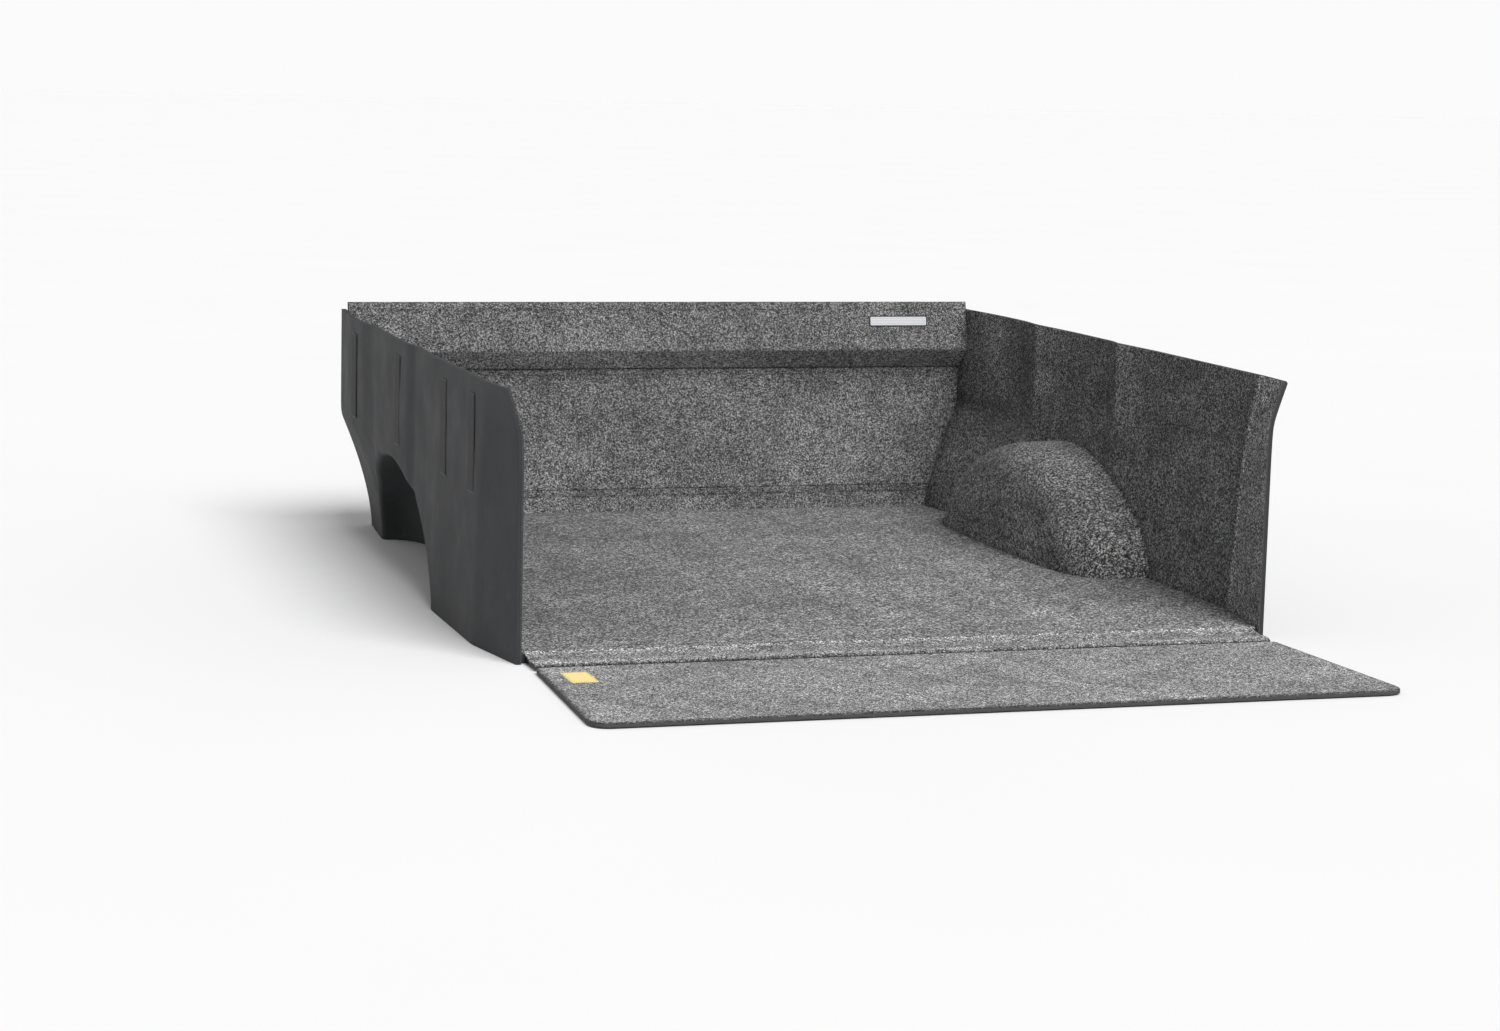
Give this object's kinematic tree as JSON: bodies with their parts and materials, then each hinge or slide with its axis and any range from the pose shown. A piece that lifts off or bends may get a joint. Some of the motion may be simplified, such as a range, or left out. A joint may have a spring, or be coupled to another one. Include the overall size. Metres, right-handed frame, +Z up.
{
  "type": "truck bed liner",
  "caption": "Carpeted foam liner for a pickup bed: floor, headboard, side panels moulded over the wheel humps, hinged gap guard and zip-on tailgate mat.",
  "frame": {"origin": "centre of the floor mat's underside, on the surface that the liner lies on", "axes": "+X to the truck's right, +Y forward to the headboard, +Z up"},
  "size_m": [1.6012, 2.2853, 0.531],
  "materials": {
    "carpet": "needle-punched carpet, salt and pepper grey, fibrous matt pile",
    "foam": "closed-cell foam, dark grey, fine matt cells",
    "hook_strip": "black hook tape",
    "badge": "plain light grey woven label",
    "tag": "plain yellow coated tag",
    "zip_tape": "black woven tape",
    "zip_teeth": "black moulded coil",
    "zip_metal": "black nickel, satin"
  },
  "bodies": {
    "liner": {"floor_carpet": "carpet", "headboard_carpet": "carpet", "left_side_carpet": "carpet", "right_side_carpet": "carpet", "floor_foam": "foam", "headboard_foam": "foam", "left_side_foam": "foam", "right_side_foam": "foam", "badge": "badge", "headboard_hook_strip_1": "hook_strip", "headboard_hook_strip_2": "hook_strip", "headboard_hook_strip_3": "hook_strip", "headboard_hook_strip_4": "hook_strip", "left_hook_strip_1": "hook_strip", "left_hook_strip_2": "hook_strip", "left_hook_strip_3": "hook_strip", "left_hook_strip_4": "hook_strip", "right_hook_strip_1": "hook_strip", "right_hook_strip_2": "hook_strip", "right_hook_strip_3": "hook_strip", "right_hook_strip_4": "hook_strip"},
    "gap_guard": {"gap_guard_carpet": "carpet", "gap_guard_foam": "foam", "zip_tape_front": "zip_tape"},
    "tailgate_mat": {"tailgate_carpet": "carpet", "tailgate_foam": "foam", "care_tag": "tag", "tailgate_hook_strip_1": "hook_strip", "tailgate_hook_strip_2": "hook_strip", "tailgate_hook_strip_3": "hook_strip", "tailgate_hook_strip_4": "hook_strip", "zip_tape_rear": "zip_tape", "zip_teeth_front": "zip_teeth", "zip_teeth_rear": "zip_teeth", "zip_stop_left": "zip_metal", "zip_stop_right": "zip_metal"},
    "slider": {"zip_slider": "zip_metal"},
    "pull": {"zip_pull": "zip_metal"}
  },
  "joints": [
    {"name": "gap_guard_fold", "type": "hinge", "parent": "liner", "child": "gap_guard", "pos_m": [0, -0.849, 0.022], "axis": [-1, 0, 0], "range_deg": [0, 45]},
    {"name": "tailgate_fold", "type": "hinge", "parent": "gap_guard", "child": "tailgate_mat", "pos_m": [0, -0.932, 0.0118], "axis": [-1, 0, 0], "range_deg": [0, 45]},
    {"name": "zip_travel", "type": "slide", "parent": "tailgate_mat", "child": "slider", "axis": [1, 0, 0], "range_m": [0, 1.4]},
    {"name": "pull_swing", "type": "hinge", "parent": "slider", "child": "pull", "pos_m": [-0.704, -0.9375, 0.00685], "axis": [0, -1, 0], "range_deg": [0, 170]}
  ],
  "couplings": [
    {"joint": "tailgate_fold", "follows": "gap_guard_fold", "ratio": 1}
  ]
}
